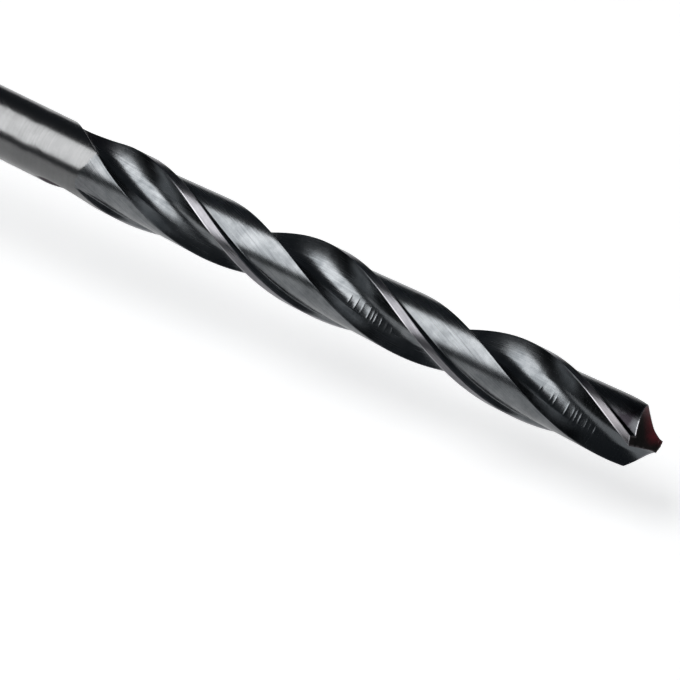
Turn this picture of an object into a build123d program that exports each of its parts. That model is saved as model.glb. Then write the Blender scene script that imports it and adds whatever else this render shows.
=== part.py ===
from build123d import *
from math import asin, ceil, cos, degrees, pi, radians, sin, sqrt, tan
import os

# Twist drill of the short straight-shank (jobber) series, right-hand cutting, with two
# right-hand helical flutes, ground from one bar of high-speed steel. Millimetres. The origin is
# the centre of the flat shank end and +Z runs along the axis to the point.

# Lengths along the axis
OVERALL_LENGTH = 117.0
FLUTE_LENGTH = 78.0  # from the chisel edge back to where the flutes leave the bar
FLUTE_RUNOUT = 12.0  # over which a flute climbs out of the bar
CLEARANCE_LENGTH = 72.8  # from the chisel edge back to where the body clearance leaves the bar
CLEARANCE_RUNOUT = 5.0  # over which the body clearance climbs out of the bar
SHANK_CHAMFER = 0.5

# Size across the axis
DRILL_DIAMETER = 8.0  # over the two margins
CLEARANCE_DEPTH = 0.68  # of a land below its margin, just behind the margin
HEEL_DEPTH = 0.36  # of a land below its margin, at the heel
SHANK_RELIEF = 0.16  # of the shank below the margins

# Flutes and lands
HELIX_ANGLE = 26.3  # at the margins, against the axis
LAND_ANGLE = 87.8  # from a land's leading edge to its heel, in a section square to the axis
MARGIN_WIDTH = 0.83  # square to the margin's edge
SHOULDER_WIDTH = 0.3  # of the slope behind the margin, across the axis
WEB_THICKNESS = 0.88  # between the flutes, at the point
WEB_TAPER = 0.012  # growth of the web for each millimetre towards the shank
ROUND_DEPTH = 0.3  # of the flute's round, below the straight line from the web to the heel

# Point. Each flank is ground on a cone whose apex lies across the axis from its lip.
POINT_ANGLE = 118.0
CONE_ANGLE = 70.0
CONE_REACH = 5.4  # from the axis to the apex, square to the axis
CONE_SKEW = 1.15  # from the lip to the cone's axis, which gives the flank its clearance

# How far the grinding shapes stand outside the bar and run past the end of a run-out, and how
# many degrees they turn from one section to the next
GRINDING_ROOM = 1.0
OVERRUN = 0.3
BODY_TURN = 36
RUNOUT_TURN = 15

drill_radius = DRILL_DIAMETER / 2
body_radius = drill_radius - CLEARANCE_DEPTH
heel_radius = drill_radius - HEEL_DEPTH
shank_radius = drill_radius - SHANK_RELIEF
room_radius = drill_radius + GRINDING_ROOM
half_web = WEB_THICKNESS / 2
lead = pi * DRILL_DIAMETER / tan(radians(HELIX_ANGLE))

# Heights of the outer corners and of the places where each form ends
lip_slope = 1 / tan(radians(POINT_ANGLE / 2))
lip_reach = sqrt(drill_radius**2 - half_web**2)
cone_tilt = radians((POINT_ANGLE - CONE_ANGLE) / 2)
cone_offset = half_web + CONE_SKEW


def point_height():
    """Height of the chisel edge over the outer corners, where both grinding cones meet the axis.

    The drop from a cone's apex to its surface on the axis solves a quadratic equation.
    """
    cosine = cos(radians(CONE_ANGLE / 2))
    square = cos(cone_tilt) ** 2 - cosine**2
    linear = CONE_REACH * sin(cone_tilt) * cos(cone_tilt)
    constant = (CONE_REACH * sin(cone_tilt)) ** 2 - cosine**2 * (CONE_REACH**2 + cone_offset**2)
    drop = -constant / (linear + sqrt(linear**2 - square * constant))
    return (lip_reach + CONE_REACH) * lip_slope - drop


corner_height = OVERALL_LENGTH - point_height()
clearance_end = OVERALL_LENGTH - CLEARANCE_LENGTH
flute_end = OVERALL_LENGTH - FLUTE_LENGTH
grinding_top = OVERALL_LENGTH + GRINDING_ROOM

# Angles of the land's edges in the section through the outer corners
corner_angle = degrees(asin(half_web / drill_radius))
margin_angle = corner_angle - degrees(MARGIN_WIDTH / cos(radians(HELIX_ANGLE)) / drill_radius)
heel_angle = corner_angle - LAND_ANGLE
flute_heel_angle = heel_angle + 180
flute_middle = (corner_angle + flute_heel_angle) / 2


def polar(radius, angle):
    """Point of a section at a radius and an angle in degrees."""
    return Vector(radius * cos(radians(angle)), radius * sin(radians(angle)))


def face_point(radius):
    """Point of the cutting face, which follows the helix down from the straight lip."""
    along_lip = sqrt(max(radius**2 - half_web**2, 0))
    fall = (lip_reach - along_lip) * lip_slope
    return polar(radius, degrees(asin(half_web / radius)) - 360 * fall / lead)


def turned_plane(height):
    """Plane square to the axis, turned as the helix turns from the outer corners to there."""
    turn = 360 * (height - corner_height) / lead
    return Plane.XY.offset(height).rotated((0, 0, turn))


def stations(top, bottom, turn):
    """Heights from top to bottom, with at most the given turn of the helix between them."""
    steps = ceil((top - bottom) / lead * 360 / turn)
    return [top + (bottom - top) * step / steps for step in range(steps + 1)]


def grinding_heights(end, runout):
    """Heights of the sections of a grinding shape, closer together in its run-out."""
    body = stations(grinding_top, end + runout, BODY_TURN)
    return body + stations(end + runout, end - OVERRUN, RUNOUT_TURN)[1:]


def wheel_rise(height, end, runout, depth):
    """Rise of the grinding wheel, which follows its round path out of the bar at the end."""
    into_runout = max(end + runout - height, 0)
    wheel_radius = (runout**2 + depth**2) / (2 * depth)
    return wheel_radius - sqrt(wheel_radius**2 - into_runout**2)


# Flute section: the cutting face runs in to the web, and a round takes it out to the heel. The
# section moves outward as the web thickens, and then with the wheel.
face_outside = face_point(room_radius)
face_middle = face_point(drill_radius / 2)
root = face_point(half_web)
heel = polar(heel_radius, flute_heel_angle)
heel_outside = polar(room_radius, flute_heel_angle)
flute_outside = polar(room_radius + GRINDING_ROOM, flute_middle)
round_middle = (root + heel) / 2 + (heel - root).normalized().rotate(Axis.Z, 90) * ROUND_DEPTH
flute_depth = drill_radius - half_web - WEB_TAPER / 2 * FLUTE_LENGTH

with BuildPart() as flute_grinding:
    for height in grinding_heights(flute_end, FLUTE_RUNOUT):
        growth = WEB_TAPER / 2 * (OVERALL_LENGTH - height)
        shift = polar(growth + wheel_rise(height, flute_end, FLUTE_RUNOUT, flute_depth), flute_middle)
        with BuildSketch(turned_plane(height)):
            with BuildLine():
                ThreePointArc(face_outside + shift, face_middle + shift, root + shift)
                ThreePointArc(root + shift, round_middle + shift, heel + shift)
                Line(heel + shift, heel_outside + shift)
                ThreePointArc(heel_outside + shift, flute_outside + shift, face_outside + shift)
            make_face()
    loft()

# Body clearance: a shallow band that slopes down behind the margin and passes the heel. Its
# floor rises along the slope behind the margin in the run-out, to between shank and margin.
shoulder_angle = margin_angle - degrees(SHOULDER_WIDTH / drill_radius)
past_heel = heel_angle - degrees(MARGIN_WIDTH / drill_radius)
clearance_middle = (shoulder_angle + past_heel) / 2
clearance_rise = CLEARANCE_DEPTH - SHANK_RELIEF / 2
shoulder_foot = polar(body_radius, shoulder_angle)
shoulder_climb = (polar(drill_radius, margin_angle) - shoulder_foot) / CLEARANCE_DEPTH
shoulder_outside = shoulder_foot + shoulder_climb * (room_radius - body_radius)
clearance_heel_outside = polar(room_radius, past_heel)
clearance_outside = polar(room_radius + GRINDING_ROOM, clearance_middle)

with BuildPart() as clearance_grinding:
    for height in grinding_heights(clearance_end, CLEARANCE_RUNOUT):
        rise = wheel_rise(height, clearance_end, CLEARANCE_RUNOUT, clearance_rise)
        floor_start = shoulder_foot + shoulder_climb * rise
        floor_middle = polar((body_radius + heel_radius) / 2 + rise, clearance_middle)
        floor_end = polar(heel_radius + rise, past_heel)
        with BuildSketch(turned_plane(height)):
            with BuildLine():
                Line(shoulder_outside, floor_start)
                ThreePointArc(floor_start, floor_middle, floor_end)
                Line(floor_end, clearance_heel_outside)
                ThreePointArc(clearance_heel_outside, clearance_outside, shoulder_outside)
            make_face()
    loft()

# Grinding cone of a flank: its lip lies along the cone, and its axis stands ahead of the lip.
cone_apex = Vector(-CONE_REACH, cone_offset, corner_height + (lip_reach + CONE_REACH) * lip_slope)
cone_length = 2 * OVERALL_LENGTH

with BuildPart() as drill_bit:
    Cylinder(drill_radius, OVERALL_LENGTH, align=(Align.CENTER, Align.CENTER, Align.MIN))
    with PolarLocations(0, 2):
        add(flute_grinding.part, mode=Mode.SUBTRACT)
    with PolarLocations(0, 2):
        add(clearance_grinding.part, mode=Mode.SUBTRACT)
    # Shank, turned a little below the margins, with its end chamfered
    with BuildSketch(Plane.XZ):
        with BuildLine():
            Polyline(
                (shank_radius - SHANK_CHAMFER, 0),
                (shank_radius, SHANK_CHAMFER),
                (shank_radius, clearance_end),
                (room_radius, clearance_end),
                (room_radius, 0),
                close=True,
            )
        make_face()
    revolve(axis=Axis.Z, mode=Mode.SUBTRACT)
    for half_turn in (0, 180):
        with Locations(Rotation(0, 0, half_turn) * Pos(cone_apex) * Rotation(0, -degrees(cone_tilt), 0)):
            Cone(
                cone_length * tan(radians(CONE_ANGLE / 2)),
                0,
                cone_length,
                align=(Align.CENTER, Align.CENTER, Align.MAX),
                mode=Mode.INTERSECT,
            )

os.makedirs("parts", exist_ok=True)
drill_bit.part.label = "drill_bit"
export_step(drill_bit.part, "parts/drill_bit.step")
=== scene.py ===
"""Twist drill bit: the ground and blackened bar around the CAD frame, with its camera and studio light."""

import logging
import math
from dataclasses import dataclass
from enum import Enum

import bmesh
import bpy
import numpy as np
from mathutils import Matrix, Vector
from mathutils.geometry import delaunay_2d_cdt


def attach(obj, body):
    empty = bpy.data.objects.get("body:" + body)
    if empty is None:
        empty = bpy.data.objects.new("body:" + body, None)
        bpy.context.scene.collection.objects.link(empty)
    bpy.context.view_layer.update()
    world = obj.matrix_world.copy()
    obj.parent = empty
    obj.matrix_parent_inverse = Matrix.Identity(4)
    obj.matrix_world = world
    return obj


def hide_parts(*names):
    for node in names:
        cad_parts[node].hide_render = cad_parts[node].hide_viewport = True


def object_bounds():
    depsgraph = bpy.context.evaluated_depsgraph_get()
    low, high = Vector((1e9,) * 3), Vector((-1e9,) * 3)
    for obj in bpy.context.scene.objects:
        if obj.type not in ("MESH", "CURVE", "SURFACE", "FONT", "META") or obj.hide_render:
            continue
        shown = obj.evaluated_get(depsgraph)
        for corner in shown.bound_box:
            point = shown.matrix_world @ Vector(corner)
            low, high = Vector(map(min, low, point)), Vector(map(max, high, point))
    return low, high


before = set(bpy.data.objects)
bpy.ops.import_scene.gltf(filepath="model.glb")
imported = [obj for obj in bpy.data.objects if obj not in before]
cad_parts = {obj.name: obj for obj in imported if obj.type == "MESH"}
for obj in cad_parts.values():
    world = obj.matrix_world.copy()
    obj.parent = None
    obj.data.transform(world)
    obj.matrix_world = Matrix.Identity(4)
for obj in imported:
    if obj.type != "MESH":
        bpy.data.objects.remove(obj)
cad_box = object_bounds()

logging.basicConfig(level=logging.INFO, format="%(message)s")
log = logging.getLogger("drill_bit")

MM = 0.001
UV_LAYER = "around_and_along"
KEEP_INSIDE = 1  # the triangulation keeps only what lies inside its outer edges
MERGE_WITHIN = 1e-7  # millimetres between two of its points that are taken as one

Colour = tuple[float, float, float]
Box = tuple[Vector, Vector]
Socket = bpy.types.NodeSocket


class Zone(Enum):
    """Ground surface of the drill, in the order of the finishes on its mesh."""

    SHANK = 0
    MARGIN = 1
    LAND = 2
    FLUTE = 3
    FLANK = 4


def polar(radius: float, angle: float) -> np.ndarray:
    """Point of a section at a radius in millimetres and an angle in degrees."""
    return np.array([radius * math.cos(math.radians(angle)), radius * math.sin(math.radians(angle))])


def arc_through(start: np.ndarray, middle: np.ndarray, end: np.ndarray, count: int) -> np.ndarray:
    """Points of the arc from start through middle to end.

    Args:
        start: First point.
        middle: Point on the arc.
        end: Last point.
        count: Number of points.

    Returns:
        Array of count points.
    """
    centre, radius = circle_through(start, middle, end)
    angles = [math.atan2(*(point - centre)[::-1]) for point in (start, middle, end)]
    first, half, last = np.unwrap(angles)
    sweep = np.linspace(first, last, count)
    return centre + radius * np.column_stack([np.cos(sweep), np.sin(sweep)])


def circle_through(start: np.ndarray, middle: np.ndarray, end: np.ndarray) -> tuple[np.ndarray, float]:
    """Circle through three points.

    Args:
        start: First point.
        middle: Second point.
        end: Third point.

    Returns:
        Its centre and its radius.
    """
    rows = 2 * np.array([middle - start, end - start])
    sums = np.array([middle @ middle - start @ start, end @ end - start @ start])
    centre = np.linalg.solve(rows, sums)
    return centre, float(np.linalg.norm(start - centre))


def directions(angles: np.ndarray) -> np.ndarray:
    """Unit vectors of a section at angles in degrees."""
    return np.column_stack([np.cos(np.radians(angles)), np.sin(np.radians(angles))])


def travelled(points: np.ndarray) -> np.ndarray:
    """Distance of each point of a polyline from its first one, along the line."""
    return np.concatenate([[0], np.cumsum(np.linalg.norm(np.diff(points, axis=0), axis=1))])


def along(points: np.ndarray, places: np.ndarray) -> np.ndarray:
    """Points of a polyline at distances along it."""
    distances = travelled(points)
    return np.column_stack([np.interp(places, distances, points[:, axis]) for axis in (0, 1)])


def nearest(points: np.ndarray, places: np.ndarray) -> np.ndarray:
    """Distance from each place to the nearest of some points."""
    return np.array([np.linalg.norm(points - place, axis=1).min() for place in places])


def smooth(value: np.ndarray | float, low: float, high: float) -> np.ndarray | float:
    """Share from 0 to 1 as a value goes from low to high, smooth at both ends."""
    share = np.clip((value - low) / (high - low), 0, 1)
    return share * share * (3 - 2 * share)


@dataclass(frozen=True)
class DrillSizes:
    """Driving sizes of the drill in millimetres and degrees, the same as in the CAD model."""

    overall_length: float = 117.0
    flute_length: float = 78.0
    flute_runout: float = 12.0
    clearance_length: float = 72.8
    clearance_runout: float = 5.0
    shank_chamfer: float = 0.5
    diameter: float = 8.0
    clearance_depth: float = 0.68
    heel_depth: float = 0.36
    shank_relief: float = 0.16
    helix_angle: float = 26.3
    land_angle: float = 87.8
    margin_width: float = 0.83
    shoulder_width: float = 0.3
    web_thickness: float = 0.88
    web_taper: float = 0.012
    round_depth: float = 0.3
    point_angle: float = 118.0
    cone_angle: float = 70.0
    cone_reach: float = 5.4
    cone_skew: float = 1.15

    @property
    def radius(self) -> float:
        """Radius over the margins."""
        return self.diameter / 2

    @property
    def body_radius(self) -> float:
        """Radius of a land just behind its margin."""
        return self.radius - self.clearance_depth

    @property
    def heel_radius(self) -> float:
        """Radius of a land at its heel."""
        return self.radius - self.heel_depth

    @property
    def shank_radius(self) -> float:
        """Radius of the shank."""
        return self.radius - self.shank_relief

    @property
    def half_web(self) -> float:
        """Half the web between the flutes at the point."""
        return self.web_thickness / 2

    @property
    def lead(self) -> float:
        """Height over which the flutes turn once."""
        return math.pi * self.diameter / math.tan(math.radians(self.helix_angle))

    @property
    def lip_slope(self) -> float:
        """Fall of a lip for each millimetre away from the axis."""
        return 1 / math.tan(math.radians(self.point_angle / 2))

    @property
    def lip_reach(self) -> float:
        """Distance along the lip from abreast of the axis to the outer corner."""
        return math.sqrt(self.radius**2 - self.half_web**2)

    @property
    def flute_end(self) -> float:
        """Height where the flutes leave the bar."""
        return self.overall_length - self.flute_length

    @property
    def clearance_end(self) -> float:
        """Height where the body clearance leaves the bar."""
        return self.overall_length - self.clearance_length

    @property
    def corner_height(self) -> float:
        """Height of the outer corners of the point."""
        return self.overall_length - float(self.cone_rise(np.zeros(1), np.zeros(1))[0])

    @property
    def corner_angle(self) -> float:
        """Angle of the first outer corner."""
        return math.degrees(math.asin(self.half_web / self.radius))

    @property
    def margin_angle(self) -> float:
        """Angle of the edge between margin and shoulder."""
        wide = self.margin_width / math.cos(math.radians(self.helix_angle))
        return self.corner_angle - math.degrees(wide / self.radius)

    @property
    def shoulder_angle(self) -> float:
        """Angle of the foot of the shoulder behind the margin."""
        return self.margin_angle - math.degrees(self.shoulder_width / self.radius)

    @property
    def heel_angle(self) -> float:
        """Angle of a land's heel."""
        return self.corner_angle - self.land_angle

    @property
    def past_heel(self) -> float:
        """Angle where the body clearance ends beyond the heel."""
        return self.heel_angle - math.degrees(self.margin_width / self.radius)

    @property
    def flute_middle(self) -> float:
        """Angle of the middle of the first flute, along which its grinding wheel moves out."""
        return (self.corner_angle + self.heel_angle + 180) / 2

    def cone_rise(self, x: np.ndarray, y: np.ndarray) -> np.ndarray:
        """Height over the outer corners of the grinding cone behind the first lip.

        Args:
            x: Places along the lip, in millimetres.
            y: Places across it.

        Returns:
            Heights of the cone's surface over the outer corners.
        """
        tilt = math.radians((self.point_angle - self.cone_angle) / 2)
        cosine = math.cos(math.radians(self.cone_angle / 2))
        from_apex = x + self.cone_reach
        aside = y - self.half_web - self.cone_skew
        square = math.cos(tilt) ** 2 - cosine**2
        linear = from_apex * math.sin(tilt) * math.cos(tilt)
        constant = (from_apex * math.sin(tilt)) ** 2 - cosine**2 * (from_apex**2 + aside**2)
        drop = -constant / (linear + np.sqrt(linear**2 - square * constant))
        return (self.lip_reach + self.cone_reach) * self.lip_slope - drop

    def point_height(self, x: np.ndarray, y: np.ndarray) -> np.ndarray:
        """Height of the ground point over a place of the section, the lower of both cones."""
        return self.corner_height + np.minimum(self.cone_rise(x, y), self.cone_rise(-x, -y))

    def turn(self, height: np.ndarray) -> np.ndarray:
        """Turn of the section at a height, in radians from the one through the outer corners."""
        return 2 * math.pi * (height - self.corner_height) / self.lead


@dataclass(frozen=True)
class SectionRun:
    """One stretch of a half section and the rounding at its end.

    Attributes:
        zone: Surface that the stretch belongs to.
        count: Number of points on it.
        rounding: Length that the rounding takes from it, in millimetres.
        rounding_points: Number of points on the rounding.
    """

    zone: Zone
    count: int
    rounding: float
    rounding_points: int = 3


@dataclass(frozen=True)
class DrillSection:
    """Half section of the fluted bar, from a land's leading edge over its heel to the next one's.

    Attributes:
        sizes: Driving sizes of the drill.
        margin: Run over the margin.
        shoulder: Run down the slope behind the margin.
        floor: Run over the ground land to its heel.
        round: Run from the heel in to the web.
        face: Run from the web out along the cutting face.
        arc_points: Points of each arc of the flute, before they are laid out in runs.
        wall_points: Points of the flute's straight wall outside the heel.
        land_points: Points over margin, shoulder and floor, before they are laid out in runs.
        outside: How far the flute's line runs outside the margins.
        bar_blend: Height over which the bar grows from the shank's radius to the margins'.
        heel_blend: Angle over which the clearance fades out beyond the heel.
        closed_flute: Half angle of the bar that stands for a flute where there is none.
        closed_points: Points on each side of that.
        least_points: A flute with fewer points inside the bar counts as closed.
        least_side: At least one in so many points lies on each side of the flute's root.
        most_rounded: Most of a stretch that one rounding takes.
    """

    sizes: DrillSizes
    margin: SectionRun = SectionRun(Zone.MARGIN, 9, 0.05)
    shoulder: SectionRun = SectionRun(Zone.LAND, 4, 0.12)
    floor: SectionRun = SectionRun(Zone.LAND, 26, 0.08)
    round: SectionRun = SectionRun(Zone.FLUTE, 20, 1.5, 17)
    face: SectionRun = SectionRun(Zone.FLUTE, 20, 0.07)
    arc_points: int = 700
    wall_points: int = 175
    land_points: tuple[int, int, int] = (60, 40, 240)
    outside: float = 1.0
    bar_blend: float = 4.0
    heel_blend: float = 3.0
    closed_flute: float = 1.2
    closed_points: int = 5
    least_points: int = 4
    least_side: int = 8
    most_rounded: float = 0.42

    @property
    def runs(self) -> tuple[SectionRun, ...]:
        """The runs in order."""
        return (self.margin, self.shoulder, self.floor, self.round, self.face)

    def column_zones(self) -> list[Zone]:
        """Surface of the strip that starts at each column of the half section."""
        columns = [(run.zone, run.count + run.rounding_points) for run in self.runs]
        return [zone for zone, count in columns for _ in range(count)]

    def face_point(self, radius: float) -> np.ndarray:
        """Point of the cutting face, which follows the helix down from the straight lip.

        Args:
            radius: Distance of the point from the axis.

        Returns:
            The point in the section through the outer corners.
        """
        s = self.sizes
        along_lip = math.sqrt(max(radius**2 - s.half_web**2, 0))
        fall = (s.lip_reach - along_lip) * s.lip_slope
        return polar(radius, math.degrees(math.asin(s.half_web / radius)) - 360 * fall / s.lead)

    def wheel_rise(self, height: float, end: float, runout: float, depth: float) -> float:
        """Rise of a grinding wheel on its round path out of the bar.

        Args:
            height: Height of the section.
            end: Height where the ground form leaves the bar.
            runout: Height over which it climbs out.
            depth: How far it climbs.

        Returns:
            Rise of the wheel in millimetres.
        """
        into_runout = min(max(end + runout - height, 0), runout)
        wheel_radius = (runout**2 + depth**2) / (2 * depth)
        return wheel_radius - math.sqrt(wheel_radius**2 - into_runout**2)

    def bar_radius(self, height: float) -> float:
        """Radius of the bar: the shank's below the body clearance and the margins' above it."""
        s = self.sizes
        return s.shank_radius + s.shank_relief * float(smooth(height - s.clearance_end, 0, self.bar_blend))

    def land_radius(self, angles: np.ndarray, height: float) -> np.ndarray:
        """Radius of the first land.

        Args:
            angles: Angles of the section in degrees, from a flute's middle down to the other's.
            height: Height of the section.

        Returns:
            Radius at each angle.
        """
        s = self.sizes
        bar = self.bar_radius(height)
        if height < s.clearance_end:
            return np.full(len(angles), bar)
        depth = s.clearance_depth - s.shank_relief / 2
        rise = self.wheel_rise(height, s.clearance_end, s.clearance_runout, depth)
        foot = polar(s.body_radius, s.shoulder_angle)
        climb = (polar(s.radius, s.margin_angle) - foot) / s.clearance_depth
        middle = (s.shoulder_angle + s.past_heel) / 2
        centre, radius = circle_through(
            foot + climb * rise,
            polar((s.body_radius + s.heel_radius) / 2 + rise, middle),
            polar(s.heel_radius + rise, s.past_heel),
        )
        across = directions(angles) @ centre
        ground = across + np.sqrt(radius**2 - centre @ centre + across**2)
        ground += (bar - ground) * smooth(s.past_heel - angles, 0, self.heel_blend)
        return np.minimum(ground, bar)

    def flute_line(self, height: float) -> tuple[np.ndarray, int]:
        """Line of the first flute at a height, not yet cut off at the lands.

        The section moves outward as the web thickens, and then with the wheel.

        Args:
            height: Height of the section.

        Returns:
            Points from outside the heel in to the root and out along the face, and the root's
            number.
        """
        s = self.sizes
        growth = s.web_taper / 2 * (s.overall_length - height)
        depth = s.radius - s.half_web - s.web_taper / 2 * s.flute_length
        rise = self.wheel_rise(height, s.flute_end, s.flute_runout, depth)
        outside = s.radius + self.outside
        root = self.face_point(s.half_web)
        heel = polar(s.heel_radius, s.heel_angle + 180)
        bulge = (heel - root) / np.linalg.norm(heel - root) * s.round_depth
        round_middle = (root + heel) / 2 + np.array([-bulge[1], bulge[0]])
        wall = np.linspace(polar(outside, s.heel_angle + 180), heel, self.wall_points)
        hollow = arc_through(heel, round_middle, root, self.arc_points)
        face = arc_through(root, self.face_point(s.radius / 2), self.face_point(outside), self.arc_points)
        points = np.vstack([wall[:-1], hollow[:-1], face]) + polar(growth + rise, s.flute_middle)
        return points, len(wall) + len(hollow) - 2

    def closed_line(self, height: float) -> tuple[np.ndarray, np.ndarray]:
        """Short arc of the bar that stands for a flute where there is none.

        Args:
            height: Height of the section.

        Returns:
            Its two halves.
        """
        middle, half = self.sizes.flute_middle, self.closed_flute
        sweep = np.linspace(middle + half, middle - half, 2 * self.closed_points - 1)
        arc = self.bar_radius(height) * directions(sweep)
        return arc[: self.closed_points], arc[self.closed_points - 1 :]

    def flute(self, height: float) -> tuple[np.ndarray, np.ndarray]:
        """The first flute's outline at a height, cut off where it meets the lands.

        Args:
            height: Height of the section.

        Returns:
            Points from the heel in to the root, and from the root out to the leading edge.
        """
        s = self.sizes
        points, root = self.flute_line(height)
        angles = np.degrees(np.arctan2(points[:, 1], points[:, 0]))
        limits = np.where(
            angles > s.flute_middle,
            self.land_radius(angles - 180, height),
            np.where(angles > s.margin_angle, self.bar_radius(height), s.radius),
        )
        inside = np.flatnonzero(np.linalg.norm(points, axis=1) < limits)
        if len(inside) < self.least_points or height <= s.flute_end:
            return self.closed_line(height)
        first, last = inside[0], inside[-1]
        start = self.crossing(points, limits, first - 1)
        end = self.crossing(points, limits, last)
        kept = np.vstack([start, points[first : last + 1], end])
        least = len(kept) // self.least_side
        split = min(max(root - first + 1, least + 1), len(kept) - least - 2)
        return kept[: split + 1], kept[split:]

    def crossing(self, points: np.ndarray, limits: np.ndarray, index: int) -> np.ndarray:
        """Point between two neighbours where a line crosses the land's surface.

        Args:
            points: Points of the line.
            limits: Radius of the land at each of them.
            index: Number of the first neighbour.

        Returns:
            The crossing point.
        """
        over = np.linalg.norm(points[index : index + 2], axis=1) - limits[index : index + 2]
        share = over[0] / (over[0] - over[1])
        return points[index] + share * (points[index + 1] - points[index])

    def half_outline(self, height: float) -> np.ndarray:
        """Points of the half section at a height, with its edges rounded.

        Args:
            height: Height of the section in millimetres.

        Returns:
            Points in an unturned frame, as many at each height.
        """
        s = self.sizes
        to_root, to_edge = self.flute(height)
        lead_angle = math.degrees(math.atan2(to_edge[-1][1], to_edge[-1][0]))
        heel_angle = math.degrees(math.atan2(to_root[0][1], to_root[0][0])) - 180
        limits = (lead_angle, s.margin_angle, s.shoulder_angle, heel_angle)
        margin, shoulder, floor = (
            np.linspace(start, end, count)
            for start, end, count in zip(limits[:-1], limits[1:], self.land_points)
        )
        bar = self.bar_radius(height)
        foot = self.land_radius(np.array([s.shoulder_angle]), height)[0]
        stretches = [
            bar * directions(margin),
            np.linspace(bar, foot, len(shoulder))[:, None] * directions(shoulder),
            self.land_radius(floor, height)[:, None] * directions(floor),
            -to_root,
            -to_edge,
        ]
        # Stretches that meet share the point between them
        stretches[0][0] = to_edge[-1]
        stretches[3][0] = stretches[2][-1]
        return self.rounded(stretches)

    def rounded(self, stretches: list[np.ndarray]) -> np.ndarray:
        """One line through the stretches, with a small curve at each corner.

        Args:
            stretches: Polylines in order, each starting where the last one ends.

        Returns:
            Points of the half outline.
        """
        lengths = [travelled(stretch)[-1] for stretch in stretches]
        count = len(stretches)
        trims = [
            min(run.rounding, self.most_rounded * min(lengths[index], lengths[(index + 1) % count]))
            for index, run in enumerate(self.runs)
        ]
        points = []
        for index, (run, stretch) in enumerate(zip(self.runs, stretches)):
            places = np.linspace(trims[index - 1], lengths[index] - trims[index], run.count)
            points.append(along(stretch, places))
            leave, corner = points[-1][-1], stretch[-1]
            # The last stretch meets the other half, which is the first one after half a turn
            sign = -1 if index == count - 1 else 1
            enter = sign * along(stretches[(index + 1) % count], np.array([trims[index]]))[0]
            steps = np.linspace(0, 1, run.rounding_points + 2)[1:-1, None]
            points.append((1 - steps) ** 2 * leave + 2 * steps * (1 - steps) * corner + steps**2 * enter)
        return np.vstack(points)

    def outline(self, height: float) -> np.ndarray:
        """The whole section, both halves."""
        half = self.half_outline(height)
        return np.vstack([half, -half])


@dataclass(frozen=True)
class FeedMarks:
    """Fine raised lines that the grinding wheel left across the bottom of the flutes.

    Attributes:
        lines: Height on the drill and strength of each line.
        height: How far a line of strength 1 stands proud.
        width: Distance from its middle, along the axis, at which it has died down.
        rows: Rows of the mesh on each side of its middle.
        centre: Distance from the heel to its middle, along the flute.
        reach: Half its length across the flute.
    """

    lines: tuple[tuple[float, float], ...] = (
        (79.4, 0.7), (80.3, 1.0), (81.1, 0.5), (82.0, 1.0), (82.5, 0.6),
        (82.9, 1.0), (83.6, 0.9), (84.3, 0.6), (85.0, 0.9), (86.1, 0.4),
        (102.9, 1.2), (104.4, 0.7), (104.9, 0.8), (106.4, 1.0), (107.2, 0.6),
        (107.6, 0.8), (108.1, 0.9), (108.9, 0.6), (109.4, 0.5), (110.0, 1.5),
    )
    height: float = 0.027
    width: float = 0.07
    rows: int = 2
    centre: float = 2.45
    reach: float = 0.75

    def stations(self) -> np.ndarray:
        """Heights of the rows that carry the marks."""
        offsets = np.arange(-self.rows, self.rows + 1) * self.width
        return np.concatenate([middle + offsets for middle, _ in self.lines])

    def rise(self, from_heel: np.ndarray, height: float) -> np.ndarray:
        """How far the surface stands proud: level along a line's middle and steep at its ends.

        Args:
            from_heel: Distance of each column along the flute from its heel, in millimetres.
            height: Height of the row.

        Returns:
            Rise at each column.
        """
        across = np.exp(-(((from_heel - self.centre) / self.reach) ** 4))
        waves = sum(
            strength * math.exp(-(((height - middle) / self.width) ** 2))
            for middle, strength in self.lines
        )
        return self.height * waves * across


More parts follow.
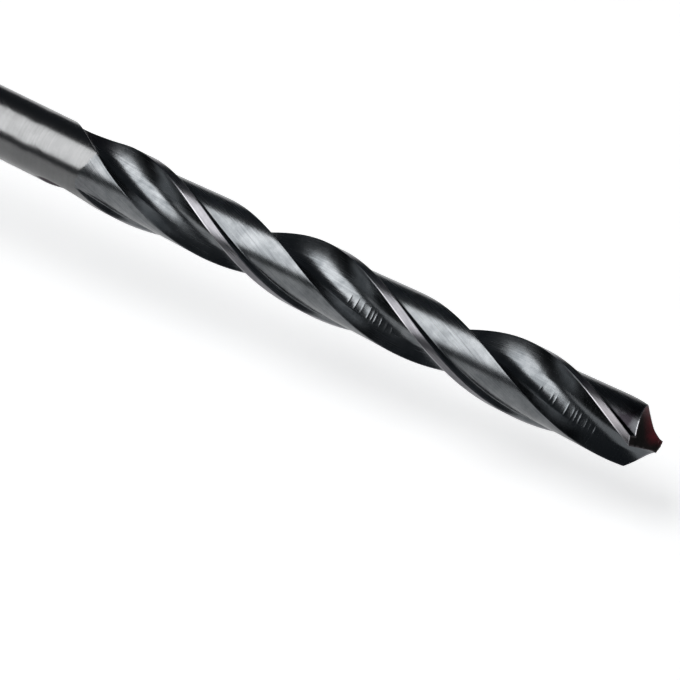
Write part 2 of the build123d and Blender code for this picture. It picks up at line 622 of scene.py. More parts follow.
@dataclass(frozen=True)
class WeatheringAndGlints:
    """Bare worn edges, which also carry a painted highlight along every edge, and the tints of heat and oil,
    as one share of each for every vertex.

    Attributes:
        sizes: Driving sizes of the drill.
        runout_height: Height where the warm tint is strongest, in the flutes' run-out.
        runout_reach: How far it spreads along the axis.
        flute_radii: Radius above which there is no warm tint, and below which there is all of it.
        tip_height: Height where the tint behind the point starts.
        tip_reach: Height over which it grows.
        red_limit: Distance along the lip where the red ends, and within which it is full.
        red_from_lip: Distance from the lip where the red starts, and where it is full.
        bare_heel: Distance from the lip where a flank's bare heel starts, and where it is full.
        heel_wear: Wear of that heel.
    """

    sizes: DrillSizes
    runout_height: float = 40.5
    runout_reach: float = 4.0
    flute_radii: tuple[float, float] = (3.83, 3.7)
    tip_height: float = 104.0
    tip_reach: float = 8.0
    red_limit: tuple[float, float] = (2.3, 0.9)
    red_from_lip: tuple[float, float] = (0.3, 1.5)
    bare_heel: tuple[float, float] = (2.9, 3.5)
    heel_wear: float = 0.5

    def shares(self, places: np.ndarray, flank: np.ndarray) -> dict[str, np.ndarray]:
        """Tint, warm tint and wear of each vertex, away from the edges.

        Args:
            places: Vertices in millimetres.
            flank: Whether each vertex lies on a flank of the point.

        Returns:
            Share of each by its name.
        """
        x, y, z = places.T
        warm = np.exp(-(((z - self.runout_height) / self.runout_reach) ** 2))
        warm *= smooth(-np.hypot(x, y), -self.flute_radii[0], -self.flute_radii[1])
        tip = smooth(z, self.tip_height, self.tip_height + self.tip_reach)
        side = np.where(self.sizes.cone_rise(x, y) < self.sizes.cone_rise(-x, -y), 1, -1)
        from_lip = self.sizes.half_web - y * side
        red = smooth(-x * side, -self.red_limit[0], -self.red_limit[1]) * smooth(from_lip, *self.red_from_lip)
        wear_and_glint = np.where(flank, self.heel_wear * smooth(from_lip, *self.bare_heel), 0)
        return {"tint": np.where(flank, red, tip), "warm": warm, "wear_and_glint": wear_and_glint}

    def apply(self, mesh: bpy.types.Mesh) -> None:
        """Stores the shares on a mesh, with full wear where two ground surfaces meet, which is also a painted
        highlight along those edges.

        Args:
            mesh: The drill's mesh, with the zone of each face as its material.
        """
        places = np.array([tuple(vertex.co) for vertex in mesh.vertices]) / MM
        met = [set() for _ in mesh.vertices]
        for polygon in mesh.polygons:
            for vertex in polygon.vertices:
                met[vertex].add(polygon.material_index)
        edge = np.array([len(zones) > 1 and Zone.SHANK.value not in zones for zones in met])
        flank = np.array([Zone.FLANK.value in zones for zones in met])
        shares = self.shares(places, flank)
        # Edges between ground surfaces get the pale bare tone in full: wear and a painted highlight along
        # them
        shares["wear_and_glint"] = np.where(edge, 1.0, shares["wear_and_glint"])
        for name, values in shares.items():
            layer = mesh.attributes.new(name, "FLOAT", "POINT")
            layer.data.foreach_set("value", values.astype(np.float32))


@dataclass(frozen=True)
class DrillBody:
    """The drill as one ground bar: shank, fluted body and point.

    Attributes:
        sizes: Driving sizes of the drill.
        marks: Feed marks in its flutes.
        chamfer_rows: Rows on the shank's chamfer, below its top.
        shank_step: Height between two rows of the shank.
        runout_step: Height between two rows of the run-out.
        runout_room: How far those close rows reach beyond the run-out.
        body_step: Height between two rows of the body.
        row_digits: Decimals of a row's height, so that two rows that almost meet are one.
        tip_start: Height where the rows start to follow the ground point.
        tip_rows: Number of rows that do.
        tip_room: How far the outline is followed beyond the point.
        halvings: Steps in the search for a height or an angle.
        least_cut: Depth below the bar at which a face counts as ground.
        margin_start: Height above which the bar is margin and not shank.
        chisel_points: Points from the axis to an end of the chisel edge.
        chisel_sweep: Angles between which the chisel edge is searched.
        chisel_gap: Distance that its points keep from the rim.
        flank_grid: Distance between the inner points of a flank.
        rim_clear: Share of that distance that they keep from the rim.
        chisel_clear: Share of it that they keep from the chisel edge.
        seam_step: Step of the layout around the section, at its seam.
        tiny: Added to a length before it divides.
    """

    sizes: DrillSizes = DrillSizes()
    marks: FeedMarks = FeedMarks()
    chamfer_rows: int = 2
    shank_step: float = 1.6
    runout_step: float = 0.2
    runout_room: float = 1.0
    body_step: float = 0.5
    row_digits: int = 4
    tip_start: float = 112.4
    tip_rows: int = 16
    tip_room: float = 1.0
    halvings: int = 40
    least_cut: float = 0.012
    margin_start: float = 50.0
    chisel_points: int = 9
    chisel_sweep: tuple[float, float] = (40.0, 140.0)
    chisel_gap: float = 0.03
    flank_grid: float = 0.16
    rim_clear: float = 0.6
    chisel_clear: float = 0.5
    seam_step: float = 0.1
    tiny: float = 1e-12

    def heights(self) -> np.ndarray:
        """Heights of the rows between the shank's chamfer and the point.

        Returns:
            The heights in order, closer together in the run-out and at the feed marks.
        """
        s = self.sizes
        plain_end = s.flute_end - self.runout_room
        runout_top = s.flute_end + s.flute_runout + self.runout_room
        plain = np.arange(s.shank_chamfer, plain_end, self.shank_step)
        runout = np.arange(plain_end, runout_top, self.runout_step)
        body = np.linspace(runout_top, self.tip_start, int((self.tip_start - runout_top) / self.body_step))
        every = np.concatenate([plain, runout, body, self.marks.stations()])
        return np.unique(every.round(self.row_digits))

    def marked(self, outline: np.ndarray, section: DrillSection, height: float) -> np.ndarray:
        """An outline with the feed marks that cross its flutes at a height.

        Args:
            outline: Points of the whole section.
            section: Section that they belong to.
            height: Height of the row.

        Returns:
            The points, moved outward where a mark stands proud.
        """
        half = len(outline) // 2
        flute = [index for index, zone in enumerate(section.column_zones()) if zone is Zone.FLUTE]
        points = outline[flute]
        tangent = np.gradient(points, axis=0)
        outward = np.column_stack([-tangent[:, 1], tangent[:, 0]])
        outward /= np.linalg.norm(outward, axis=1)[:, None] + self.tiny
        rise = self.marks.rise(travelled(points), height)[:, None] * outward
        made = outline.copy()
        made[flute] += rise
        made[[index + half for index in flute]] -= rise
        return made

    def turned(self, points: np.ndarray, heights: np.ndarray) -> np.ndarray:
        """Points of unturned sections, turned along the helix and lifted to their heights.

        Args:
            points: Points of sections.
            heights: Height of each of them.

        Returns:
            Points in space, in millimetres.
        """
        turn = self.sizes.turn(heights)
        x = points[:, 0] * np.cos(turn) - points[:, 1] * np.sin(turn)
        y = points[:, 0] * np.sin(turn) + points[:, 1] * np.cos(turn)
        return np.column_stack([x, y, heights])

    def tip_tops(self, low: np.ndarray, high: np.ndarray, span: tuple[float, float]) -> np.ndarray:
        """Height at which each column of the outline meets the ground point.

        Args:
            low: Outline at the lower height of span.
            high: Outline at the upper height of span.
            span: Lower and upper height.

        Returns:
            One height for each column.
        """
        below = np.full(len(low), span[0])
        above = np.full(len(low), span[1])
        for _ in range(self.halvings):
            middle = (below + above) / 2
            placed = self.turned(self.between(low, high, span, middle), middle)
            under = middle < self.sizes.point_height(placed[:, 0], placed[:, 1])
            below = np.where(under, middle, below)
            above = np.where(under, above, middle)
        return (below + above) / 2

    def between(
        self, low: np.ndarray, high: np.ndarray, span: tuple[float, float], heights: np.ndarray
    ) -> np.ndarray:
        """Outline points at heights between two outlines."""
        share = ((heights - span[0]) / (span[1] - span[0]))[:, None]
        return low + share * (high - low)

    def rows(self, section: DrillSection) -> list[np.ndarray]:
        """Rows of the outer surface from the shank's end face to the point.

        Args:
            section: Section of the bar, which gives its outline at each height.

        Returns:
            The points of each row, in millimetres.
        """
        s = self.sizes
        first = section.outline(s.shank_chamfer)
        count = len(first)
        rows = []
        for row in range(self.chamfer_rows):
            height = s.shank_chamfer * row / self.chamfer_rows
            radius = s.shank_radius - s.shank_chamfer + height
            rows.append(self.turned(first * radius / s.shank_radius, np.full(count, height)))
        for height in self.heights():
            outline = self.marked(section.outline(height), section, height)
            rows.append(self.turned(outline, np.full(count, height)))
        span = (self.tip_start, s.overall_length + self.tip_room)
        low, high = section.outline(span[0]), section.outline(span[1])
        tops = self.tip_tops(low, high, span)
        for row in range(1, self.tip_rows + 1):
            heights = self.tip_start + (tops - self.tip_start) * row / self.tip_rows
            rows.append(self.turned(self.between(low, high, span, heights), heights))
        return rows

    def chisel_line(self) -> np.ndarray:
        """The chisel edge, where both cones meet.

        Returns:
            Its points from one side of the web to the other.
        """
        s = self.sizes
        line = []
        for radius in np.linspace(0, s.half_web, self.chisel_points)[1:]:
            low, high = (math.radians(angle) for angle in self.chisel_sweep)
            for _ in range(self.halvings):
                middle = (low + high) / 2
                x, y = np.array([radius * math.cos(middle)]), np.array([radius * math.sin(middle)])
                if s.cone_rise(x, y)[0] < s.cone_rise(-x, -y)[0]:
                    high = middle
                else:
                    low = middle
            line.append([x[0], y[0]])
        line = np.array(line)
        return np.vstack([-line[::-1], [[0, 0]], line])

    def inside(self, polygon: np.ndarray, points: np.ndarray) -> np.ndarray:
        """Whether each point lies inside a closed polygon.

        Args:
            polygon: Corners in order.
            points: Points to test.

        Returns:
            True for each point inside, found by counting the sides to its right.
        """
        found = np.zeros(len(points), bool)
        for start, end in zip(polygon, np.roll(polygon, -1, axis=0)):
            crosses = (start[1] > points[:, 1]) != (end[1] > points[:, 1])
            with np.errstate(divide="ignore", invalid="ignore"):
                reach = start[0] + (points[:, 1] - start[1]) * (end[0] - start[0]) / (end[1] - start[1])
            found ^= crosses & (points[:, 0] < reach)
        return found

    def flank_points(self, rim: np.ndarray, chisel: np.ndarray) -> np.ndarray:
        """Grid points inside the rim that keep clear of it and of the chisel edge.

        Args:
            rim: Outline of the point, seen along the axis.
            chisel: Points of the chisel edge.

        Returns:
            The points, seen along the axis.
        """
        ticks = np.arange(-self.sizes.radius, self.sizes.radius, self.flank_grid)
        grid = np.array([[x, y] for x in ticks for y in ticks])
        off_rim = nearest(rim, grid) > self.flank_grid * self.rim_clear
        off_chisel = nearest(chisel, grid) > self.flank_grid * self.chisel_clear
        return grid[self.inside(rim, grid) & off_rim & off_chisel]

    def point_faces(self, rim: np.ndarray) -> tuple[np.ndarray, list[list[int]], list[tuple[int, int]]]:
        """Vertices and triangles of the two flanks inside the rim.

        Args:
            rim: Top row of the outer surface, in millimetres.

        Returns:
            New vertices after the rim's, triangles by index into rim and new vertices, and the
            chisel edge's edges.
        """
        count = len(rim)
        flat = rim[:, :2]
        chisel = self.chisel_line()
        ends = [int(np.argmin(np.linalg.norm(flat - chisel[index], axis=1))) for index in (0, -1)]
        inner = chisel[1:-1]
        inner = inner[nearest(flat, inner) > self.chisel_gap]
        places = [Vector(place) for place in np.vstack([flat, inner, self.flank_points(flat, chisel)])]
        spine = [ends[0], *range(count, count + len(inner)), ends[1]]
        steps = list(zip(spine[:-1], spine[1:]))
        edges = [(i, (i + 1) % count) for i in range(count)] + steps
        made, _, triangles, sources, _, _ = delaunay_2d_cdt(places, edges, [], KEEP_INSIDE, MERGE_WITHIN)
        index_of, vertices = {}, []
        for new, source in enumerate(sources):
            if source and source[0] < count:
                index_of[new] = source[0]
                continue
            x, y = made[new]
            index_of[new] = count + len(vertices)
            vertices.append([x, y, self.sizes.point_height(np.array([x]), np.array([y]))[0]])
        back = {source: index_of[new] for new, found in enumerate(sources) for source in found}
        ridge = [(back[a], back[b]) for a, b in steps]
        faces = [[index_of[i] for i in triangle] for triangle in triangles]
        return np.array(vertices), faces, ridge

    def side_faces(
        self, rows: list[np.ndarray], section: DrillSection
    ) -> tuple[list[list[int]], list[Zone]]:
        """Faces between the rows, and the surface that each belongs to.

        Args:
            rows: Rows of the outer surface, in millimetres.
            section: Section of the bar.

        Returns:
            The vertices of each face, by their numbers, and the zones of the faces.
        """
        count = len(rows[0])
        zones = section.column_zones() * 2
        faces, kinds = [], []
        for row, points in enumerate(rows[:-1]):
            height = points[0][2]
            cut_radius = section.bar_radius(height) - self.least_cut
            low, high = row * count, (row + 1) * count
            for column in range(count):
                after = (column + 1) % count
                faces.append([low + column, high + column, high + after, low + after])
                ground = math.hypot(*points[column][:2]) < cut_radius
                kinds.append(zones[column] if ground or height > self.margin_start else Zone.SHANK)
        return faces, kinds

    def build(self, box: Box) -> bpy.types.Object:
        """The drill's mesh as one object.

        Args:
            box: Corners of the CAD model's box, in metres, which the mesh stays inside.

        Returns:
            The object.
        """
        section = DrillSection(self.sizes)
        rows = self.rows(section)
        count = len(rows[0])
        base = (len(rows) - 1) * count
        tip, tip_faces, ridge = self.point_faces(rows[-1])
        faces, kinds = self.side_faces(rows, section)
        faces += [[base + index for index in face] for face in tip_faces]
        faces.append(list(range(count)))
        kinds += [Zone.FLANK] * len(tip_faces) + [Zone.SHANK]
        vertices = np.clip(np.vstack([*rows, tip]) * MM, box[0], box[1])
        mesh = bpy.data.meshes.new("ground_bar")
        mesh.from_pydata(vertices.tolist(), [], faces)
        mesh.polygons.foreach_set("material_index", [kind.value for kind in kinds])
        self.lay_out(mesh, rows)
        WeatheringAndGlints(self.sizes).apply(mesh)
        self.crease(mesh, base, count, ridge)
        piece = bpy.data.objects.new("ground_bar", mesh)
        bpy.context.scene.collection.objects.link(piece)
        return piece

    def lay_out(self, mesh: bpy.types.Mesh, rows: list[np.ndarray]) -> None:
        """Gives each corner a place around the section and along the axis, in millimetres.

        Args:
            mesh: The drill's mesh.
            rows: Rows of the outer surface, whose points are its first vertices.
        """
        count = len(rows[0])
        total = len(rows) * count
        around = travelled(rows[-1 - self.tip_rows])
        layer = mesh.uv_layers.new(name=UV_LAYER)
        for polygon in mesh.polygons:
            columns = [mesh.loops[index].vertex_index % count for index in polygon.loop_indices]
            wraps = max(columns) == count - 1 and min(columns) == 0
            for index in polygon.loop_indices:
                vertex = mesh.loops[index].vertex_index
                place = mesh.vertices[vertex].co / MM
                if vertex >= total or polygon.material_index == Zone.FLANK.value:
                    layer.data[index].uv = (place.x, place.y)
                    continue
                column = vertex % count
                u = around[-1] + self.seam_step if wraps and column == 0 else around[column]
                layer.data[index].uv = (u, place.z)

    def crease(self, mesh: bpy.types.Mesh, base: int, count: int, ridge: list[tuple[int, int]]) -> None:
        """Smooth shading, with sharp edges around the point, the chisel edge and the chamfer.

        Args:
            mesh: The drill's mesh.
            base: Number of the first vertex of the point's rim.
            count: Number of vertices in a row.
            ridge: The chisel edge's edges, by numbers from base on.
        """
        work = bmesh.new()
        work.from_mesh(mesh)
        work.verts.ensure_lookup_table()
        for facet in work.faces:
            facet.smooth = True
        starts = (0, self.chamfer_rows * count, base)
        sharp = [(start + i, start + (i + 1) % count) for start in starts for i in range(count)]
        sharp += [(base + a, base + b) for a, b in ridge]
        for a, b in sharp:
            edge = work.edges.get((work.verts[a], work.verts[b]))
            if edge is not None:
                edge.smooth = False
        bmesh.ops.recalc_face_normals(work, faces=work.faces)
        work.to_mesh(mesh)
        work.free()
        mesh.update()


@dataclass(frozen=True)
class NodeBench:
    """The nodes of one material or world, to which new ones are added with their inputs."""

    tree: bpy.types.NodeTree

    def fill(self, node: bpy.types.Node, inputs: dict[str | int, object]) -> None:
        """Links each input of a node to a socket, or sets it to a value.

        Args:
            node: Node of the tree.
            inputs: Socket or value for each input, by the input's name or number.
        """
        for key, value in inputs.items():
            if isinstance(value, Socket):
                self.tree.links.new(value, node.inputs[key])
            else:
                node.inputs[key].default_value = value

    def add(self, kind: str, output: str, inputs: dict[str | int, object], **settings: object) -> Socket:
        """Adds a node.

        Args:
            kind: Type of the node, without the ShaderNode before it.
            output: Name of the output that is used.
            inputs: Socket or value for each input, by the input's name or number.
            settings: Values of the node's own properties.

        Returns:
            The output.
        """
        node = self.tree.nodes.new("ShaderNode" + kind)
        for name, value in settings.items():
            setattr(node, name, value)
        self.fill(node, inputs)
        return node.outputs[output]

    def ray(self, name: str) -> Socket:
        """Whether a ray is of the kind that a name gives, such as Is Camera Ray."""
        return self.add("LightPath", name, {})

    def largest(self, first: Socket, *others: Socket) -> Socket:
        """The largest of some values.

        Args:
            first: One value.
            others: The other values.

        Returns:
            The largest.
        """
        for value in others:
            first = self.add("Math", "Value", {0: first, 1: value}, operation="MAXIMUM")
        return first


@dataclass(frozen=True)
class OxideFinish:
    """Black oxide on ground steel: two tones in streaks and patches, gloss and grinding lines.

    The line scale gives lines for each millimetre around the section and along the axis, and the
    patch scale gives patches for each metre. A band is the part of a noise that is spread out, and
    the patch share is the patches' part in the mix of both tones. Tint, warm and the bare and glint
    tone are the tones of the shares on the mesh; the last is worn bare steel along the edges and a
    painted highlight there as well. Least is the part of a tint where the patches leave it thinnest,
    and the bare and glint share is the part of the wear and painted highlight that the lines break
    up. Finer lines cross the others near the point: they start at the first of the cross heights and
    are full at the second.
    """

    name: str
    tone: Colour
    second_tone: Colour
    roughness: float
    roughness_spread: float
    line_scale: tuple[float, float, float]
    line_depth: float
    line_band: tuple[float, float] = (0.32, 0.68)
    patch_scale: float = 420.0
    patch_band: tuple[float, float] = (0.38, 0.62)
    patch_share: float = 0.55
    tint: Colour = (0.05, 0.042, 0.05)
    tint_least: float = 0.45
    warm: Colour = (0.045, 0.031, 0.036)
    warm_least: float = 0.7
    bare_and_glint: Colour = (0.42, 0.41, 0.43)
    bare_and_glint_share: float = 0.75
    cross_share: float = 0.0
    cross_scale: tuple[float, float, float] = (0.3, 9.0, 1.0)
    cross_heights: tuple[float, float] = (99.0, 109.0)
    relief: float = 0.6
    metallic: float = 1.0

    def material(self) -> bpy.types.Material:
        """Node material of this finish.

        Returns:
            The material.
        """
        material = bpy.data.materials.new(self.name)
        material.use_nodes = True
        nodes = NodeBench(material.node_tree)
        lines = self.lines(nodes)
        rough, sleek = self.roughness + self.roughness_spread, self.roughness - self.roughness_spread
        gloss = nodes.add("MapRange", "Result", {"To Min": rough, "To Max": sleek, "Value": lines})
        depth = {"Strength": self.relief, "Distance": self.line_depth * MM, "Height": lines}
        surface = {
            "Base Color": self.colour(nodes, lines, self.patches(nodes)),
            "Metallic": self.metallic,
            "Roughness": gloss,
            "Normal": nodes.add("Bump", "Normal", depth),
        }
        nodes.fill(material.node_tree.nodes["Principled BSDF"], surface)
        return material

    def lines(self, nodes: NodeBench) -> Socket:
        """Grinding lines along the surface, crossed by finer ones near the point.

        Args:
            nodes: Nodes of the material.

        Returns:
            Value from 0 to 1 of the lines.
        """
        place = nodes.add("UVMap", "UV", {}, uv_map=UV_LAYER)
        along_surface = self.streaks(nodes, place, self.line_scale)
        if not self.cross_share:
            return along_surface
        height = nodes.add("SeparateXYZ", "Y", {"Vector": place})
        start, full = self.cross_heights
        growth = {"From Min": start, "From Max": full, "To Max": self.cross_share, "Value": height}
        near_point = nodes.add("MapRange", "Result", growth)
        across = self.streaks(nodes, place, self.cross_scale)
        return nodes.add("Mix", "Result", {"Factor": near_point, "A": along_surface, "B": across})

    def streaks(self, nodes: NodeBench, place: Socket, scale: tuple[float, float, float]) -> Socket:
        """Noise that is stretched along one direction of the surface."""
        stretched = nodes.add("Mapping", "Vector", {"Scale": scale, "Vector": place})
        return self.noise(nodes, stretched, {"Scale": 1.0, "Detail": 8.0, "Roughness": 0.7}, self.line_band)

    def patches(self, nodes: NodeBench) -> Socket:
        """Soft patches where the oxide is thicker or thinner."""
        look = {"Scale": self.patch_scale, "Detail": 5.0, "Roughness": 0.6}
        return self.noise(nodes, nodes.add("TexCoord", "Object", {}), look, self.patch_band)

    def noise(
        self, nodes: NodeBench, place: Socket, look: dict[str, float], band: tuple[float, float]
    ) -> Socket:
        """Noise with one band of its values spread from 0 to 1.

        Args:
            nodes: Nodes of the material.
            place: Place that the noise is taken at.
            look: Settings of the noise by the names of its inputs.
            band: Lowest and highest value of the band.

        Returns:
            The spread value.
        """
        value = nodes.add("TexNoise", "Fac", {**look, "Vector": place})
        return nodes.add("MapRange", "Result", {"From Min": band[0], "From Max": band[1], "Value": value})

    def colour(self, nodes: NodeBench, lines: Socket, patches: Socket) -> Socket:
        """Both tones mixed by lines and patches, then covered with the tints and worn bare, where the bare
        edges are also a painted highlight.

        Args:
            nodes: Nodes of the material.
            lines: Value of the grinding lines.
            patches: Value of the patches.

        Returns:
            The surface's colour.
        """
        share = nodes.add("Mix", "Result", {"Factor": self.patch_share, "A": lines, "B": patches})
        tones = {"Factor": share, "A": (*self.tone, 1), "B": (*self.second_tone, 1)}
        blend = nodes.add("Mix", "Result", tones, data_type="RGBA")
        tinted = self.covered(nodes, blend, "tint", patches, self.tint_least, self.tint)
        warmed = self.covered(nodes, tinted, "warm", patches, self.warm_least, self.warm)
        # The pale bare tone is wear and, along the edges, a painted highlight
        return self.covered(nodes, warmed, "wear_and_glint", lines, 1 - self.bare_and_glint_share, self.bare_and_glint)

    def covered(
        self, nodes: NodeBench, under: Socket, name: str, pattern: Socket, least: float, tone: Colour
    ) -> Socket:
        """A colour covered with a tone where the mesh has a share of it.

        Args:
            nodes: Nodes of the material.
            under: Colour below.
            name: Name of the share on the mesh.
            pattern: Value that breaks up the cover.
            least: Part of the share where the pattern is 0.
            tone: Colour of the cover.

        Returns:
            The mixed colour.
        """
        share = nodes.add("Attribute", "Fac", {}, attribute_name=name)
        broken = nodes.add("MapRange", "Result", {"To Min": least, "Value": pattern})
        amount = nodes.add("Math", "Value", {0: share, 1: broken}, operation="MULTIPLY", use_clamp=True)
        cover = {"Factor": amount, "A": under, "B": (*tone, 1)}
        return nodes.add("Mix", "Result", cover, data_type="RGBA")


FINISHES = {
    Zone.SHANK: OxideFinish(
        name="shank_oxide",
        tone=(0.105, 0.106, 0.107),
        second_tone=(0.135, 0.136, 0.137),
        roughness=0.23,
        roughness_spread=0.03,
        line_scale=(0.12, 4.0, 1.0),
        line_depth=0.002,
        tint=(0.07, 0.062, 0.066),
    ),
    Zone.MARGIN: OxideFinish(
        name="margin_oxide",
        tone=(0.095, 0.095, 0.102),
        second_tone=(0.185, 0.18, 0.192),
        roughness=0.29,
        roughness_spread=0.06,
        line_scale=(6.0, 0.2, 1.0),
        line_depth=0.005,
        tint=(0.15, 0.142, 0.15),
    ),
    Zone.LAND: OxideFinish(
        name="land_oxide",
        tone=(0.078, 0.084, 0.089),
        second_tone=(0.172, 0.179, 0.185),
        roughness=0.26,
        roughness_spread=0.06,
        line_scale=(4.0, 0.14, 1.0),
        line_depth=0.005,
        tint=(0.017, 0.015, 0.018),
    ),
    Zone.FLUTE: OxideFinish(
        name="flute_oxide",
        tone=(0.062, 0.068, 0.073),
        second_tone=(0.165, 0.172, 0.178),
        roughness=0.24,
        roughness_spread=0.06,
        line_scale=(5.0, 0.16, 1.0),
        line_depth=0.005,
        tint=(0.08, 0.086, 0.093),
        cross_share=0.8,
    ),
    Zone.FLANK: OxideFinish(
        name="flank_oxide",
        tone=(0.002, 0.002, 0.002),
        second_tone=(0.007, 0.005, 0.005),
        roughness=0.4,
        roughness_spread=0.1,
        line_scale=(1.2, 6.0, 1.0),
        line_depth=0.01,
        patch_scale=900.0,
        patch_share=0.75,
        tint=(0.1, 0.008, 0.014),
        bare_and_glint=(0.09, 0.08, 0.085),
    ),
}


@dataclass(frozen=True)
class Viewpoint:
    """Camera at the photograph's angle: a long lens close above the drill's tip side.

    Lens and sensor are in millimetres, and the other lengths are in metres.
    """

    place: tuple[float, float, float] = (0.289945, -0.068475, 0.189070)
    back: tuple[float, float, float] = (0.910327, -0.230813, 0.343556)
    up: tuple[float, float, float] = (-0.070658, -0.904545, -0.420483)
    lens: float = 155.598
    sensor: float = 36.0
    clip: tuple[float, float] = (0.01, 10.0)

    def axes(self) -> tuple[Vector, Vector, Vector]:
        """Directions of the camera, square to each other.

        Returns:
            Right, up and back, away from what it looks at.
        """
        back = Vector(self.back).normalized()
        right = Vector(self.up).cross(back).normalized()
        return right, back.cross(right), back

    def build(self) -> bpy.types.Object:
        """The scene's camera.

        Returns:
            The camera.
        """
        data = bpy.data.cameras.new("camera")
        data.lens = self.lens
        data.sensor_width = self.sensor
        data.clip_start, data.clip_end = self.clip
        camera = bpy.data.objects.new("camera", data)
        camera.matrix_world = Matrix.Translation(self.place) @ Matrix(self.axes()).transposed().to_4x4()
        bpy.context.scene.collection.objects.link(camera)
        bpy.context.scene.camera = camera
        return camera


@dataclass(frozen=True)
class Softbox:
    """A soft lamp, placed by the direction that it shines from as the camera sees it.

    Across, above and behind are the parts of that direction to the right, up and towards the camera.
    The lean turns the lamp's height from the top of the picture to the right, square to the drill.
    """

    name: str
    across: float
    above: float
    behind: float
    distance: float
    width: float
    height: float
    power: float
    lean: float = 26.6
    on_metal: bool = True
    on_paper: bool = True

    def build(self, viewpoint: Viewpoint, target: Vector) -> bpy.types.Object:
        """The lamp as an object.

        Args:
            viewpoint: The camera, whose right, up and back give the direction.
            target: Point that the lamp faces.

        Returns:
            The lamp.
        """
        right, up, back = viewpoint.axes()
        direction = (right * self.across + up * self.above + back * self.behind).normalized()
        lean = math.radians(self.lean)
        side = (right * math.sin(lean) + up * math.cos(lean)).cross(direction).normalized()
        turned = Matrix((side, direction.cross(side), direction)).transposed().to_4x4()
        data = bpy.data.lights.new(self.name, "AREA")
        data.shape = "ELLIPSE"
        data.size, data.size_y = self.width, self.height
        data.energy = self.power
        lamp = bpy.data.objects.new(self.name, data)
        lamp.visible_glossy = self.on_metal
        lamp.visible_diffuse = self.on_paper
        lamp.matrix_world = Matrix.Translation(target + direction * self.distance) @ turned
        bpy.context.scene.collection.objects.link(lamp)
        return lamp


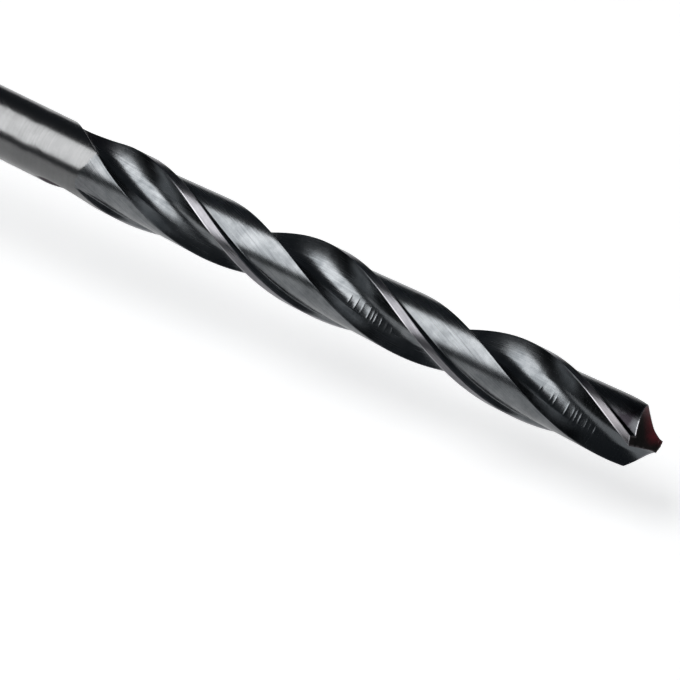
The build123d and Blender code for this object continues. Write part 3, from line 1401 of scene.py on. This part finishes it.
@dataclass(frozen=True)
class Studio:
    """White paper under the drill, soft light over it and a dim room around it.

    The lamps face the target, a point of the drill. The paper lies a gap below it, tilted from up in
    the picture towards the camera, and its lift is a glow that the camera and reflections see.
    """

    viewpoint: Viewpoint = Viewpoint()
    target: tuple[float, float, float] = (0.0, 0.0, 0.085)
    paper_gap: float = 0.0128
    paper_tilt: float = 41.0
    paper_radius: float = 0.17
    paper_sides: int = 96
    paper_white: float = 0.8
    paper_lift: float = 0.745
    room: Colour = (0.048, 0.056, 0.065)
    lamps: tuple[Softbox, ...] = (
        Softbox(
            name="key_softbox",
            across=-0.6,
            above=0.53,
            behind=0.6,
            distance=0.7,
            width=0.56,
            height=0.95,
            power=6.2,
            on_paper=False,
        ),
        Softbox(
            name="paper_softbox",
            across=-0.35,
            above=0.62,
            behind=0.5,
            distance=0.7,
            width=0.5,
            height=0.5,
            power=1.95,
            on_metal=False,
        ),
    )

    def paper_normal(self) -> Vector:
        """Direction out of the paper, towards the camera and up in its picture.

        Returns:
            The direction, of length 1.
        """
        _, up, back = self.viewpoint.axes()
        tilt = math.radians(self.paper_tilt)
        return up * math.cos(tilt) + back * math.sin(tilt)

    def paper(self) -> bpy.types.Object:
        """Round sheet of white paper, seen from its front only.

        Returns:
            The sheet.
        """
        normal = self.paper_normal()
        centre = Vector(self.target) - normal * self.paper_gap
        mesh = bpy.data.meshes.new("white_paper")
        work = bmesh.new()
        bmesh.ops.create_circle(work, cap_ends=True, segments=self.paper_sides, radius=self.paper_radius)
        work.to_mesh(mesh)
        work.free()
        sheet = bpy.data.objects.new("white_paper", mesh)
        sheet.matrix_world = Matrix.Translation(centre) @ normal.to_track_quat("Z", "Y").to_matrix().to_4x4()
        bpy.context.scene.collection.objects.link(sheet)
        mesh.materials.append(self.paper_finish())
        return sheet

    def paper_finish(self) -> bpy.types.Material:
        """White paper that camera and reflections see lifted to white, and that keeps its shadow.

        Returns:
            The material, clear from behind.
        """
        material = bpy.data.materials.new("white_paper")
        material.use_nodes = True
        nodes = NodeBench(material.node_tree)
        nodes.tree.nodes.clear()
        paper = nodes.add("BsdfDiffuse", "BSDF", {"Color": (*[self.paper_white] * 3, 1)})
        glow = nodes.add("Emission", "Emission", {"Strength": self.paper_lift})
        lifted = nodes.add("AddShader", "Shader", {0: paper, 1: glow})
        seen = nodes.largest(nodes.ray("Is Camera Ray"), nodes.ray("Is Glossy Ray"))
        front = nodes.add("MixShader", "Shader", {"Fac": seen, 1: paper, 2: lifted})
        behind = nodes.add("NewGeometry", "Backfacing", {})
        clear = nodes.add("BsdfTransparent", "BSDF", {})
        shown = nodes.add("MixShader", "Shader", {"Fac": behind, 1: front, 2: clear})
        nodes.fill(nodes.tree.nodes.new("ShaderNodeOutputMaterial"), {"Surface": shown})
        return material

    def world(self) -> bpy.types.World:
        """White to the camera and to reflections below the paper, and a dim room above it.

        Returns:
            The scene's world.
        """
        world = bpy.data.worlds.new("studio")
        bpy.context.scene.world = world
        world.use_nodes = True
        nodes = NodeBench(world.node_tree)
        nodes.tree.nodes.clear()
        white = nodes.add("Background", "Background", {"Color": (1, 1, 1, 1)})
        dim = nodes.add("Background", "Background", {"Color": (*self.room, 1)})
        way = nodes.add("TexCoord", "Generated", {})
        height = nodes.add("VectorMath", "Value", {0: way, 1: self.paper_normal()}, operation="DOT_PRODUCT")
        below = nodes.add("Math", "Value", {0: height, 1: 0.0}, operation="LESS_THAN")
        glossy = nodes.ray("Is Glossy Ray")
        mirrored = nodes.add("Math", "Value", {0: glossy, 1: below}, operation="MULTIPLY")
        seen = nodes.largest(mirrored, nodes.ray("Is Camera Ray"), nodes.ray("Is Transmission Ray"))
        shown = nodes.add("MixShader", "Shader", {"Fac": seen, 1: dim, 2: white})
        nodes.fill(nodes.tree.nodes.new("ShaderNodeOutputWorld"), {"Surface": shown})
        return world

    def build(self) -> None:
        """Paper, world, lamps and camera."""
        self.viewpoint.build()
        self.world()
        self.paper()
        for lamp in self.lamps:
            lamp.build(self.viewpoint, Vector(self.target))


def main() -> None:
    """Builds the drill and its studio."""
    bpy.context.scene.view_settings.view_transform = "Standard"
    drill = DrillBody().build(cad_box)
    for zone in Zone:
        drill.data.materials.append(FINISHES[zone].material())
    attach(drill, "root")
    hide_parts("drill_bit")
    log.info("%s: %d faces", drill.name, len(drill.data.polygons))
    studio = Studio()
    studio.build()
    log.info("studio: paper, %d lamps and camera", len(studio.lamps))


if __name__ == "__main__":
    main()
